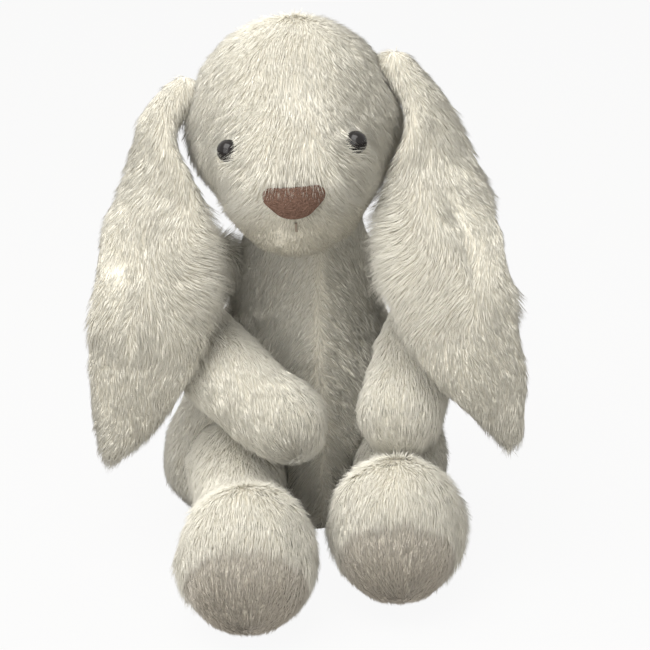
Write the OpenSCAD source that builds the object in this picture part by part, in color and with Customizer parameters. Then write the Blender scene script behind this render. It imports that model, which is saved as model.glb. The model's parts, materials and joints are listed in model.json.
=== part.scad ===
// Seated plush rabbit with long hanging ears, sewn from long-pile panels over stuffing.
// Millimetres, +Z up. The rabbit faces -Y and its origin is on the flat seat panel.
// Every soft piece is a loft of rings along a line of stations; its stuffing is the same
// loft drawn in by the thickness of the pile fabric.

/* [Torso] */
// Height of the neck pivot above the seat
neck_h = 140; // [130:1:155]
// Width across the hips
hip_w = 131; // [122:1:136]
// Depth through the hips
hip_d = 88; // [80:1:94]
// Width across the chest
chest_w = 70; // [62:1:73]
// Depth through the chest
chest_d = 56; // [50:1:60]
// Radius of the neck, which the head sits on
neck_r = 24; // [20:1:26]
// Width of the flat seat panel
seat_w = 84; // [70:1:92]
// Turn of the torso about the vertical
torso_yaw = 12; // [0:1:14]

/* [Head] */
// Radius of the back of the head
skull_r = 44; // [41:0.5:46]
// Radius of the muzzle
muzzle_r = 31; // [28:0.5:33]
// Distance from the middle of the head to the middle of the muzzle
muzzle_reach = 40; // [36:1:44]
// Angle of the muzzle below level
muzzle_drop = 24; // [20:1:30]
// Sideways tilt of the head
head_roll = 4; // [0:1:6]
// Width of the centre gusset over the head
gusset_w = 30; // [24:1:31]

/* [Face] */
// Diameter of the eyes
eye_d = 9; // [8:0.5:11]
// Angle of each eye away from straight ahead
eye_turn = 28; // [26:1:33]
// Angle of the eyes above the middle of the head
eye_lift = 1; // [-4:1:6]
// Diameter of the moulded stems
stem_d = 3.2; // [2.4:0.2:4]
// Width of the nose
nose_w = 24; // [19:0.5:26]
// Height of the nose
nose_h = 12; // [10:0.5:15]
// Angle of the nose above level
nose_lift = 1; // [-4:1:8]

/* [Ears] */
// Half width of the ears at their widest
ear_half_w = 27; // [23:1:29]
// Half thickness of the ears
ear_half_t = 9; // [7:0.5:10]
// Radius of the gathered ear root
ear_root_r = 10.5; // [8:0.5:12]
// Length of the ears
ear_len = 142; // [125:1:146]

/* [Arms] */
// Radius of the arms
arm_r = 18.5; // [16:0.5:19]
// Radius of the arm where it is sewn to the shoulder
shoulder_r = 13; // [11:0.5:15]
// Height of the shoulders
shoulder_h = 118; // [110:1:120]

/* [Legs] */
// Radius of the legs
leg_r = 20; // [17:0.5:21]
// Radius of the leg where it is sewn to the hip
hip_r = 22; // [19:0.5:24]
// Height of the hips
hip_h = 34; // [30:1:38]
// Half width of the feet
foot_half_w = 29; // [26:0.5:31]
// Half height of the feet
foot_half_h = 32; // [28:0.5:33]
// Slope of the soles back from the toes
sole_slope = 31; // [20:1:40]

/* [Tail] */
// Radius of the tail
tail_r = 18; // [14:1:20]
// Height of the middle of the tail
tail_h = 32; // [26:1:40]

/* [Sewing] */
// Thickness of the pile fabric with its dense underfur
skin = 2.5; // [1.5:0.25:3]
// Thickness of the moulded washers
washer_t = 1.6; // [1.2:0.2:2.4]

/* [Hidden] */
gap = 0.35;                    // clear space between pieces that move on each other
tuck = 0.25;                   // clear space between stuffing and skin
ear_seam_gap = 0.2;            // clear space between the two layers of an ear
seam_turn = 0.5;               // each panel stops this angle short of its seam
big = 400;
round_fn = 64;

pile_color = [0.88, 0.87, 0.82];
shade_color = [0.78, 0.76, 0.70];
fill_color = [0.97, 0.97, 0.96];
pouch_color = [0.75, 0.68, 0.55];
nose_color = [0.66, 0.50, 0.45];
eye_color = [0.02, 0.02, 0.02];
plastic_color = [0.92, 0.92, 0.90];

// The rabbit's left is +X
LEFT = 1;
RIGHT = -1;

// ---------- Lofts ----------
function unit(v) = v / norm(v);
function place(row) = [row[0], row[1], row[2]];
// Value for one side out of [left, right]
function pick(pair, side) = side == LEFT ? pair[0] : pair[1];

// Smooth curve through the rows of a list, at t from 0 to len - 1
function along(list, t) =
    let (last = len(list) - 1, i = max(0, min(floor(t), last - 1)), f = t - i,
         p0 = list[max(i - 1, 0)], p1 = list[i], p2 = list[i + 1], p3 = list[min(i + 2, last)])
    (2 * p1 + (p2 - p0) * f + (2 * p0 - 5 * p1 + 4 * p2 - p3) * f * f
        + (3 * p1 - p0 - 3 * p2 + p3) * f * f * f) / 2;

// Direction of the curve
function heading(list, t) =
    let (step = 0.05, last = len(list) - 1)
    unit(place(along(list, min(t + step, last))) - place(along(list, max(t - step, 0))));

// Frames of a loft along stations [x, y, z, half width, half thickness]: for every ring
// [centre, across, through, half width, half thickness]. Both sizes are drawn in by inset.
// A start or end length above zero closes that end with a dome of that length.
function loft_frames(st, across, inset, steps, start_len, end_len, across_end = undef) =
    let (last = len(st) - 1, domes = 4, full = domes + 0.08,
         // [place along the stations, shift along the heading, scale]
         start = start_len <= 0 ? [] : [for (k = [domes : -1 : 1])
             [0, -(start_len - inset) * sin(90 * k / full), cos(90 * k / full)]],
         middle = [for (k = [0 : steps]) [last * k / steps, 0, 1]],
         end = end_len <= 0 ? [] : [for (k = [1 : domes])
             [last, (end_len - inset) * sin(90 * k / full), cos(90 * k / full)]])
    [for (m = concat(start, middle, end))
        let (row = along(st, m[0]), dir = heading(st, m[0]),
             w = is_undef(across_end) ? across : across + sin(90 * m[0] / last) * (across_end - across),
             u = unit(w - (w * dir) * dir))
        [place(row) + m[1] * dir, u, cross(dir, u),
         (row[3] - inset) * m[2], (row[4] - inset) * m[2]]];

function on_ring(f, a) = f[0] + f[3] * cos(a) * f[1] + f[4] * sin(a) * f[2];

// Whole rings of n points
function rings(frames, n) = [for (f = frames) [for (i = [0 : n - 1]) on_ring(f, 360 * i / n)]];

// Rings of one panel of fabric: the outer frames from one angle to the next and the inner
// frames back
function panel_rings(outer, inner, from, to, n) =
    [for (j = [0 : len(outer) - 1]) concat(
        [for (i = [0 : n]) on_ring(outer[j], from + seam_turn + (to - from - 2 * seam_turn) * i / n)],
        [for (i = [n : -1 : 0]) on_ring(inner[j], from + seam_turn + (to - from - 2 * seam_turn) * i / n)])];

// Half rings, closed by a chord that lies off the middle: side 1 or -1
function half_rings(frames, n, side, off) =
    [for (f = frames) let (c = f[0] + side * off * min(1, f[4]) * f[2])
        [for (i = [0 : n]) c + side * f[3] * cos(180 * i / n) * f[1]
            + side * (f[4] - off * min(1, f[4])) * sin(180 * i / n) * f[2]]];

// Solid through a list of rings. A panel is capped from its outer edge to its inner edge,
// any other ring by a fan. The diagonals are turned so that two layers share them.
module solid_through(rings, panel = false, turned = false) {
    n = len(rings[0]);
    m = len(rings);
    sides = [for (j = [0 : m - 2], i = [0 : n - 1])
        let (a = j * n + i, b = j * n + (i + 1) % n, c = a + n, d = b + n)
        each turned ? [[a, b, d], [a, d, c]] : [[a, b, c], [b, d, c]]];
    cap = panel
        ? [for (i = [0 : n / 2 - 2]) each [[i, n - 1 - i, i + 1], [i + 1, n - 1 - i, n - 2 - i]]]
        : [for (i = [1 : n - 2]) [0, i + 1, i]];
    start = [for (f = cap) f];
    end = [for (f = cap) (m - 1) * n * [1, 1, 1] + [f[0], f[2], f[1]]];
    polyhedron(points = [for (r = rings) each r],
        faces = [for (f = concat(sides, start, end)) [f[0], f[2], f[1]]]);
}

// Everything on the side of a plane that its normal points to
module half_space(at, normal) {
    yaw = atan2(normal[1], normal[0]);
    pitch = acos(normal[2] / norm(normal));
    translate(at) rotate([0, pitch, yaw]) translate([-big / 2, -big / 2, 0]) cube(big);
}

// Round pocket with a channel out of it, in which a limb or an ear turns
module pocket(at, r, dir) {
    translate(at) rotate([90, 0, 0]) sphere(r = r + gap, $fn = round_fn);
    translate(at) rotate([0, acos(dir[2] / norm(dir)), atan2(dir[1], dir[0])])
        cylinder(r = r + gap / 2, h = 2.5 * r, $fn = round_fn);
}

// ---------- Torso ----------
torso_at = [-9, 6, 0];
neck_shift = -6;
torso_n = 28;
torso_steps = 15;
rump_h = 11;                   // where the seat has rounded out into the hips
rump_in = 6;                   // how much narrower the torso is there, each side
widest_h = 30;                 // where the hips are widest
belly_h = 62;
belly_in = 13;                 // how much narrower the belly is than the hips, each side
chest_h = 98;
collar_drop = 16;              // from the neck pivot to the collar
collar_in = 6;                 // how much narrower the collar is than the chest, each side
flat_in = 4;                   // how much flatter rump, belly and collar are, front and back
seat_d = seat_w - 16;
seat_flare = 1.5;
torso_st = [
    [0, 0, skin, seat_w / 2 + seat_flare, seat_d / 2 + seat_flare],
    [0, 0, rump_h, hip_w / 2 - rump_in, hip_d / 2 - flat_in],
    [0, 0, widest_h, hip_w / 2, hip_d / 2],
    [0, 0, belly_h, hip_w / 2 - belly_in, hip_d / 2 - flat_in],
    [0, neck_shift / 3, chest_h, chest_w / 2, chest_d / 2],
    [0, neck_shift * 2 / 3, neck_h - collar_drop, chest_w / 2 - collar_in, chest_d / 2 - flat_in],
    [0, neck_shift, neck_h, neck_r, neck_r]
];

module in_torso() { translate(torso_at) rotate([0, 0, torso_yaw]) children(); }
// The same move for a point
function from_torso(p) = torso_at + [
    p[0] * cos(torso_yaw) - p[1] * sin(torso_yaw),
    p[0] * sin(torso_yaw) + p[1] * cos(torso_yaw), p[2]];

// Torso station at a height
function torso_seek(h, t) =
    t >= len(torso_st) - 1 || along(torso_st, t)[2] >= h ? along(torso_st, t) : torso_seek(h, t + 0.02);
// Front of the torso at a height, x away from its middle
function torso_front(h, x) =
    let (s = torso_seek(h, 0)) s[1] - s[4] * sqrt(max(0, 1 - pow(x / s[3], 2)));

// Point beside the torso: turned away from straight ahead, off the surface by a distance
function beside_torso(side, h, turn, off) =
    let (s = torso_seek(h, 0), r = 1 / norm([sin(turn) / s[3], cos(turn) / s[4]]) + off)
    from_torso([side * r * sin(turn), s[1] - r * cos(turn), h]);

shoulder_turn = [85, 98];       // left and right, away from straight ahead
shoulder_off = 8.5;            // from the torso's surface to the shoulder joint
hip_in = 29;                   // from the side of the hips to the hip joint
hip_spread = hip_w / 2 - hip_in;
hip_sink = 7;                  // depth of the hip joint behind the belly

neck_at = from_torso([0, neck_shift, neck_h]);
function shoulder_at(side) = beside_torso(side, shoulder_h, pick(shoulder_turn, side), shoulder_off);
function hip_at(side) =
    from_torso([side * hip_spread, torso_front(hip_h, hip_spread) + hip_sink, hip_h]);

function torso_frames(inset) = loft_frames(torso_st, [1, 0, 0], inset, torso_steps, 0, neck_r);

module torso_pockets() {
    for (side = [LEFT, RIGHT]) {
        pocket(shoulder_at(side), shoulder_r, place(arm_st(side)[1] - arm_st(side)[0]));
        pocket(hip_at(side), hip_r, leg_dir(side));
    }
}

// Torso skin above the seat panel, from one angle about the middle to the next
module torso_panel(from, to) {
    color(pile_color) difference() {
        in_torso() solid_through(panel_rings(torso_frames(0), torso_frames(skin), from, to,
            round(torso_n * (to - from) / 360)), panel = true);
        torso_pockets();
    }
}

side_seam = 360 / torso_n;
module torso_front_left() { torso_panel(270, 360 + side_seam); }
module torso_front_right() { torso_panel(180 - side_seam, 270); }
module torso_back() { torso_panel(side_seam, 180 - side_seam); }

module seat_panel() {
    edge = torso_frames(0)[0];
    color(shade_color) in_torso() solid_through(rings([
        [[0, 0, 0], edge[1], edge[2], seat_w / 2, seat_d / 2], edge], torso_n));
}

pouch_in = 10;                 // from the edge of the seat to the bean pouch
pouch_r = seat_w / 2 - pouch_in;
pouch_h = 20;
// Flattened round bag of beads
module bean_pouch(r, h) {
    rotate_extrude($fn = round_fn) {
        square([r - h / 2, h]);
        intersection() {
            translate([r - h / 2, h / 2]) circle(d = h, $fn = round_fn);
            square([r, h]);
        }
    }
}

module torso_stuffing() {
    color(fill_color) difference() {
        in_torso() translate([0, 0, tuck]) solid_through(rings(
            loft_frames(torso_st, [1, 0, 0], skin + tuck, torso_steps, 0, neck_r - tuck), torso_n),
            turned = true);
        torso_pockets();
        translate(torso_at + [0, 0, skin]) cylinder(r = pouch_r + tuck, h = pouch_h + 2 * tuck, $fn = round_fn);
    }
}

module seat_bean_pouch() {
    color(pouch_color) translate(torso_at + [0, 0, skin + tuck]) bean_pouch(pouch_r, pouch_h);
}

// ---------- Tail ----------
tail_flat = 4;                 // how much of the ball its flat seat takes off
tail_cut = tail_r - tail_flat;
tail_seat = from_torso([0, torso_seek(widest_h, 0)[4] + gap, tail_h]);
// Ball with a flat seat, turned about the line out of the back
module tail_ball(outer, inner) {
    translate(tail_seat) rotate([-90, 0, torso_yaw]) rotate_extrude($fn = round_fn) intersection() {
        translate([0, tail_cut]) difference() {
            circle(r = outer, $fn = round_fn);
            if (inner > 0) circle(r = inner, $fn = round_fn);
        }
        square(big);
    }
}
module tail_skin() { color(pile_color) tail_ball(tail_r, tail_r - skin); }
module tail_stuffing() { color(fill_color) tail_ball(tail_r - skin - tuck, 0); }

// ---------- Head ----------
head_lean = [-5, -12];         // sideways and forward, from the neck
neck_sink = 1;
head_at = neck_at + [head_lean[0], head_lean[1], skull_r - neck_sink];

// The head is an egg: two spheres and the cone that touches both, turned about the line
// from the middle of the skull to the middle of the muzzle
module in_head() { translate(head_at) rotate([0, -head_roll, 0]) children(); }
function from_head(p) = head_at + [
    p[0] * cos(head_roll) - p[2] * sin(head_roll), p[1],
    p[0] * sin(head_roll) + p[2] * cos(head_roll)];

module egg(inset) {
    touch = asin((skull_r - muzzle_r) / muzzle_reach);
    step = 7.5;
    rotate([90 + muzzle_drop, 0, 0]) rotate_extrude($fn = round_fn) polygon(concat(
        [for (a = [-90 : step : touch]) (skull_r - inset) * [cos(a), sin(a)]],
        [for (a = [touch : step : 90]) [0, muzzle_reach] + (muzzle_r - inset) * [cos(a), sin(a)]],
        [[0, muzzle_reach + muzzle_r - inset]]));
}

// Pockets for the neck and the ear roots
module head_pockets() {
    translate(neck_at) sphere(r = neck_r + gap, $fn = round_fn);
    for (side = [LEFT, RIGHT])
        pocket(ear_root(side), ear_root_r, place(ear_st(side)[1] - ear_st(side)[0]));
}

// Each eye lies in a hollow in the pile and the nose sits on it; their stems pass through
// the skin into the stuffing
muzzle_dir = [0, -cos(muzzle_drop), -sin(muzzle_drop)];
muzzle_at = muzzle_reach * muzzle_dir;
// Angle from the muzzle's direction at which the skull passes into the cone
cone_turn = acos((skull_r - muzzle_r) / muzzle_reach);
function eye_dir(side) = [side * sin(eye_turn) * cos(eye_lift), -cos(eye_turn) * cos(eye_lift), sin(eye_lift)];
// Surface point and normal of the egg in a direction that meets the cone
function cone_point(dir) = skull_r / cos(cone_turn - acos(dir * muzzle_dir)) * dir;
function cone_normal(dir) =
    sin(cone_turn) * unit(dir - (dir * muzzle_dir) * muzzle_dir) + cos(cone_turn) * muzzle_dir;
nose_dir = [0, -cos(nose_lift), sin(nose_lift)];
stem_in = 9;                   // length of the stems inside the skin
stem_len = skin + stem_in;
stem_free = 5;                 // how far a stem's hole runs on out of the head
eye_sink = 1.2;                // how deep the flat back of an eye lies in the pile
washer_r = 5;
washer_seat = 1.2;             // from the inside of the skin to the washer

// Local frame of a face piece: +Z straight out of the head, origin on the surface
module on_face(at, normal) {
    in_head() translate(at) rotate([0, acos(normal[2]), atan2(normal[1], normal[0])]) children();
}
module on_eye(side) { on_face(cone_point(eye_dir(side)), cone_normal(eye_dir(side))) children(); }
module on_nose() { on_face(muzzle_at + muzzle_r * nose_dir, nose_dir) children(); }

module stem_hole() {
    translate([0, 0, -stem_len - tuck])
        cylinder(d = stem_d + 2 * tuck, h = stem_len + stem_free, $fn = round_fn);
}
module washer_space() {
    translate([0, 0, -skin - washer_seat - washer_t - tuck])
        cylinder(r = washer_r + tuck, h = washer_t + washer_seat + 2 * tuck, $fn = round_fn);
}

module head_shell() {
    difference() {
        in_head() difference() {
            egg(0);
            egg(skin);
        }
        head_pockets();
        for (side = [LEFT, RIGHT]) on_eye(side) {
            stem_hole();
            translate([0, 0, -eye_sink - tuck]) cylinder(d = eye_d + 2 * tuck, h = eye_d, $fn = round_fn);
        }
        on_nose() stem_hole();
    }
}

module head_gusset() {
    color(pile_color) intersection() {
        head_shell();
        in_head() translate([-gusset_w / 2, -big / 2, -big / 2]) cube([gusset_w, big, big]);
    }
}
module head_side(side) {
    color(pile_color) intersection() {
        head_shell();
        in_head() translate([side > 0 ? gusset_w / 2 : -big - gusset_w / 2, -big / 2, -big / 2]) cube(big);
    }
}
module head_side_left() { head_side(LEFT); }
module head_side_right() { head_side(RIGHT); }

module head_stuffing() {
    color(fill_color) difference() {
        in_head() egg(skin + tuck);
        head_pockets();
        for (side = [LEFT, RIGHT]) on_eye(side) {
            stem_hole();
            washer_space();
        }
        on_nose() {
            stem_hole();
            washer_space();
        }
    }
}

// Domed eye with a flat back and a stem
eye_dome = 0.9;                // from the flat back to the middle of the dome
stem_root = 1;                 // how far a stem runs up into its eye or nose
module eye(side) {
    color(eye_color) on_eye(side) translate([0, 0, -eye_sink]) {
        rotate_extrude($fn = round_fn) intersection() {
            translate([0, eye_dome]) circle(d = eye_d, $fn = round_fn);
            square(eye_d);
        }
        translate([0, 0, eye_sink - stem_len])
            cylinder(d = stem_d, h = stem_len - eye_sink + stem_root, $fn = round_fn);
    }
}
module eye_left() { eye(LEFT); }
module eye_right() { eye(RIGHT); }

module lock_washer() {
    translate([0, 0, -skin - washer_seat - washer_t]) difference() {
        cylinder(r = washer_r, h = washer_t, $fn = round_fn);
        translate([0, 0, -washer_t]) cylinder(d = stem_d + 2 * tuck, h = 3 * washer_t, $fn = round_fn);
    }
}
module eye_washer_left() { color(plastic_color) on_eye(LEFT) lock_washer(); }
module eye_washer_right() { color(plastic_color) on_eye(RIGHT) lock_washer(); }
module nose_washer() { color(plastic_color) on_nose() lock_washer(); }

// Broad rounded wedge with a domed front
nose_corner = 3.6;
nose_bottom_r = 5;             // radius of the lower edge before it is widened
nose_bottom_wide = 1.65;       // how much wider than high the lower edge's curve is
nose_t = 7;
nose_dome = 18;
nose_rise = 0.6;
module nose_outline() {
    hull() {
        for (side = [-1, 1])
            translate([-nose_h / 2 + nose_corner, side * (nose_w / 2 - nose_corner)])
                circle(r = nose_corner, $fn = 32);
        translate([nose_h / 2 - nose_bottom_r, 0]) scale([1, nose_bottom_wide])
            circle(r = nose_bottom_r, $fn = 32);
    }
}
module nose() {
    color(nose_color) on_nose() difference() {
        union() {
            intersection() {
                translate([0, 0, -nose_t / 2]) linear_extrude(nose_t) nose_outline();
                translate([0, 0, nose_t / 2 - nose_dome]) sphere(r = nose_dome, $fn = round_fn);
            }
            translate([0, 0, -stem_len]) cylinder(d = stem_d, h = stem_len + stem_root, $fn = round_fn);
        }
        // Hollow back, which follows the muzzle
        difference() {
            translate([0, 0, -muzzle_r]) sphere(r = muzzle_r + nose_rise, $fn = round_fn);
            translate([0, 0, -stem_len - stem_free])
                cylinder(d = stem_d, h = stem_len + 2 * stem_free, $fn = round_fn);
        }
    }
}

// Short bar of thread from the nose down towards the chin
stitch_d = 1;
stitch_from = -14;
stitch_to = -21;
module mouth_stitch() {
    color(eye_color) in_head() translate(muzzle_at) rotate([0, 90, 0])
        rotate([0, 0, -90 - stitch_from]) rotate_extrude(angle = stitch_from - stitch_to, $fn = round_fn)
            translate([muzzle_r + stitch_d / 2 + tuck, 0]) circle(d = stitch_d, $fn = round_fn);
}

// ---------- Ears ----------
ear_n = 9;
ear_steps = 13;
ear_root_lift = [24, 18];       // left and right
ear_root_off = 2.5;
ear_root_back = 0;
ear_tip_len = 8;
ear_gather = 2;                // how much wider the ear is where its gathers open out
function ear_root(side) = from_head((skull_r + ear_root_off) * unit([
    side * cos(pick(ear_root_lift, side)), sin(ear_root_back), sin(pick(ear_root_lift, side))]));
// How far each station hangs out from the root and forward of it; the left ear lies over the arm
ear_hang = [0, 0.08, 0.26, 0.46, 0.68, 0.87, 1];
ear_out = [[0, 12.5, 17, 18.5, 26.5, 39, 46], [0, 11, 11, 11, 15.5, 23.5, 29.5]];
ear_forward = [[0, 9, 20, 43.5, 61.5, 63.5, 61.5], [0, 9, 19, 40.5, 50.5, 49.5, 46.5]];
// How much narrower and flatter the ear is at each station than at its widest
ear_narrow = [5, 0, 2, 10, 19];
ear_flat = [2, 0, 0, 0.5, 1.5, 3];
ear_half_widths = concat([ear_root_r, ear_root_r + ear_gather], [for (n = ear_narrow) ear_half_w - n]);
ear_half_depths = concat([ear_root_r], [for (f = ear_flat) ear_half_t - f]);

// The further an ear leans out, the less it drops
function ear_st(side) =
    let (out = pick(ear_out, side), forward = pick(ear_forward, side),
         drop = sqrt(pow(ear_len, 2) - pow(out[6], 2)))
    [for (i = [0 : len(ear_hang) - 1])
        let (p = ear_root(side) + [side * out[i], -forward[i], -ear_hang[i] * drop])
        [p[0], p[1], p[2], ear_half_widths[i], ear_half_depths[i]]];

// One layer of an ear: the back (-1) or the lining (1)
module ear_layer(side, layer) {
    solid_through(half_rings(loft_frames(ear_st(side), [0.15, side, 0.3 * side], 0, ear_steps,
        ear_root_r, ear_tip_len, [1, 0.1 * side, 0.4 * side]), ear_n, layer, ear_seam_gap / 2),
        turned = layer < 0);
}
module ear_back_left() { color(pile_color) ear_layer(LEFT, -1); }
module ear_back_right() { color(pile_color) ear_layer(RIGHT, -1); }
module ear_lining_left() { color(shade_color) ear_layer(LEFT, 1); }
module ear_lining_right() { color(shade_color) ear_layer(RIGHT, 1); }

// ---------- Arms ----------
arm_n = 16;
arm_steps = 9;
upper_arm_h = 103;
upper_arm_swell = 3;
upper_arm_r = shoulder_r + upper_arm_swell;
upper_arm_off = 5;
upper_arm_turn = [68, 83];
elbow_h = 85;
elbow_turn = [41, 47];
elbow_off = 4.4;
paw_h = hip_h + leg_r + arm_r + gap;
paw_x = [30.5, -16];
paw_y = [-62, -69];
function elbow_at(side) = beside_torso(side, elbow_h, pick(elbow_turn, side), arm_r + elbow_off);
function arm_row(p, r) = [p[0], p[1], p[2], r, r];
function arm_st(side) = [
    arm_row(shoulder_at(side), shoulder_r),
    arm_row(beside_torso(side, upper_arm_h, pick(upper_arm_turn, side), upper_arm_r + upper_arm_off),
        upper_arm_r),
    arm_row(elbow_at(side), arm_r),
    arm_row([pick(paw_x, side), pick(paw_y, side), paw_h], arm_r)];
function arm_frames(side, inset) =
    loft_frames(arm_st(side), [side, 0, 0.5], inset, arm_steps, shoulder_r, arm_r);
module arm_panel(side, from) {
    color(pile_color) solid_through(panel_rings(arm_frames(side, 0), arm_frames(side, skin),
        from, from + 180, arm_n / 2), panel = true);
}
module arm_stuffing(side) {
    color(fill_color) solid_through(rings(arm_frames(side, skin + tuck), arm_n), turned = true);
}
module arm_outer_left() { arm_panel(LEFT, -90); }
module arm_outer_right() { arm_panel(RIGHT, -90); }
module arm_inner_left() { arm_panel(LEFT, 90); }
module arm_inner_right() { arm_panel(RIGHT, 90); }
module arm_stuffing_left() { arm_stuffing(LEFT); }
module arm_stuffing_right() { arm_stuffing(RIGHT); }

// ---------- Legs ----------
leg_n = 18;
leg_steps = 12;
leg_len = [72, 79];            // hip to the middle of the foot, left and right
leg_turn = [-3, -6];         // outward turn of each leg
foot_lift = [1.5, 0];
toe_len = 16;
leg_drop = [1, 2];             // how far the middle of the leg lies below the hip
ankle_back = 34;               // from the middle of the foot back to the ankle
instep_back = 14;
ball_on = 13;                  // and on to the ball of the foot
sole_on = 24;                  // and on to the top edge of the sole
instep_in = [5, 8];            // how much narrower and lower the instep is, each side
ball_in = [4, 4.5];
function leg_dir(side) =
    [side * sin(pick(leg_turn, side)), -cos(pick(leg_turn, side)), 0];
function leg_row(side, s, h, a, b) =
    let (p = hip_at(side) + s * leg_dir(side)) [p[0], p[1], h, a, b];
function foot_h(side) = foot_half_h + pick(foot_lift, side);
function leg_st(side) = let (l = pick(leg_len, side), f = foot_h(side)) [
    leg_row(side, 0, hip_h, hip_r, hip_r),
    leg_row(side, l * 0.3, hip_h - leg_drop[0], leg_r, leg_r),
    leg_row(side, l - ankle_back, hip_h - leg_drop[1], leg_r, leg_r),
    leg_row(side, l - instep_back, f - leg_drop[1], foot_half_w - instep_in[0], foot_half_h - instep_in[1]),
    leg_row(side, l, f, foot_half_w, foot_half_h),
    leg_row(side, l + ball_on, f, foot_half_w - ball_in[0], foot_half_h - ball_in[1])];
module leg_solid(side, inset) {
    solid_through(rings(loft_frames(leg_st(side), [1, 0, 0], inset, leg_steps, hip_r, toe_len), leg_n));
}
// Plane of the sole, which slopes back from the toes
module beyond_sole(side, sign) {
    toe = hip_at(side) + (pick(leg_len, side) + sole_on) * leg_dir(side);
    half_space([toe[0], toe[1], foot_h(side) + foot_half_h / 2],
        sign * (cos(sole_slope) * leg_dir(side) + [0, 0, -sin(sole_slope)]));
}
module leg_shell(side) {
    difference() {
        leg_solid(side, 0);
        leg_solid(side, skin);
    }
}
module leg_upper(side) {
    color(pile_color) intersection() {
        leg_shell(side);
        beyond_sole(side, -1);
    }
}
module foot_sole(side) {
    color(shade_color) intersection() {
        leg_shell(side);
        beyond_sole(side, 1);
    }
}
module leg_upper_left() { leg_upper(LEFT); }
module leg_upper_right() { leg_upper(RIGHT); }
module foot_sole_left() { foot_sole(LEFT); }
module foot_sole_right() { foot_sole(RIGHT); }

foot_pouch_in = [9, 8];        // from the skin to the pouch, at its sides and below it
foot_pouch_r = foot_half_w - skin - foot_pouch_in[0];
foot_pouch_h = 14;
module in_foot(side) {
    at = hip_at(side) + pick(leg_len, side) * leg_dir(side);
    translate([at[0], at[1], foot_h(side) - foot_half_h + skin + foot_pouch_in[1]]) children();
}
module leg_stuffing(side) {
    color(fill_color) difference() {
        leg_solid(side, skin + tuck);
        in_foot(side) translate([0, 0, -tuck])
            cylinder(r = foot_pouch_r + tuck, h = foot_pouch_h + 2 * tuck, $fn = round_fn);
    }
}
module leg_stuffing_left() { leg_stuffing(LEFT); }
module leg_stuffing_right() { leg_stuffing(RIGHT); }
module foot_bean_pouch(side) {
    color(pouch_color) in_foot(side) bean_pouch(foot_pouch_r, foot_pouch_h);
}
module foot_bean_pouch_left() { foot_bean_pouch(LEFT); }
module foot_bean_pouch_right() { foot_bean_pouch(RIGHT); }

torso_front_left();
torso_front_right();
torso_back();
seat_panel();
torso_stuffing();
seat_bean_pouch();
tail_skin();
tail_stuffing();
head_gusset();
head_side_left();
head_side_right();
head_stuffing();
eye_left();
eye_right();
eye_washer_left();
eye_washer_right();
nose();
nose_washer();
mouth_stitch();
ear_back_left();
ear_back_right();
ear_lining_left();
ear_lining_right();
arm_outer_left();
arm_outer_right();
arm_inner_left();
arm_inner_right();
arm_stuffing_left();
arm_stuffing_right();
leg_upper_left();
leg_upper_right();
foot_sole_left();
foot_sole_right();
leg_stuffing_left();
leg_stuffing_right();
foot_bean_pouch_left();
foot_bean_pouch_right();
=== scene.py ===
import json
import math

import bmesh
import bpy
import numpy as np
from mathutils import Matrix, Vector


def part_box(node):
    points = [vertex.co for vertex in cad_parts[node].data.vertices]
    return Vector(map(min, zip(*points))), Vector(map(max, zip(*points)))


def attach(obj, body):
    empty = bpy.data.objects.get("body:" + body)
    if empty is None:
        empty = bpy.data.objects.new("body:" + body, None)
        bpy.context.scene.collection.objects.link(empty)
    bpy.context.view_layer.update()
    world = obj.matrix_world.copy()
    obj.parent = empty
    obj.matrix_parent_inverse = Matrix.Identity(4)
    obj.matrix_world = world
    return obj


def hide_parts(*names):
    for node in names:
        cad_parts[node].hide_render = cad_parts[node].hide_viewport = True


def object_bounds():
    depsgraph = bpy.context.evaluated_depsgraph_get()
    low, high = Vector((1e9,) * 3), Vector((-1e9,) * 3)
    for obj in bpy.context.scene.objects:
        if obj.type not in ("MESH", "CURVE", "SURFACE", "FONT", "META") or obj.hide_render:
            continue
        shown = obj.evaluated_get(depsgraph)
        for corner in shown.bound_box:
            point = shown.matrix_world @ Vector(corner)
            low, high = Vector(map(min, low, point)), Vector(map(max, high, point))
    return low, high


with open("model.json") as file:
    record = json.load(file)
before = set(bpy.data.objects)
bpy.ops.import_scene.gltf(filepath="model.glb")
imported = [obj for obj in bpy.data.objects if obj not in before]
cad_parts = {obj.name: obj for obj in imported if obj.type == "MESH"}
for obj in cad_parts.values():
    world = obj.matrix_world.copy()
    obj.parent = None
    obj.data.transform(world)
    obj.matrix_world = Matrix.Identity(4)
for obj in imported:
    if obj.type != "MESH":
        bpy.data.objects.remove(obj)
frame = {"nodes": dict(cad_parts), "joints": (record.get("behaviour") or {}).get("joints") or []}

cad_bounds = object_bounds()

# ---------------------------------------------------------------- Camera
# The view that the rabbit is seen from: a little above it, straight on.
view_target = Vector((0.0, -0.030, 0.100))
view_distance = 0.70
view_elevation = math.radians(20)
view_width = 0.273               # what the frame spans at the target
film_width = 36                  # millimetres, as the lens is

lens_data = bpy.data.cameras.new("studio_camera")
lens_data.sensor_width = film_width
lens_data.lens = film_width * view_distance / view_width
lens_data.clip_start = 0.01
camera = bpy.data.objects.new("studio_camera", lens_data)
bpy.context.scene.collection.objects.link(camera)
toward = Vector((0, -math.cos(view_elevation), math.sin(view_elevation)))
camera.location = view_target + view_distance * toward
camera.rotation_euler = toward.to_track_quat("Z", "Y").to_euler()
bpy.context.scene.camera = camera
bpy.context.scene.view_settings.view_transform = "Standard"


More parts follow.
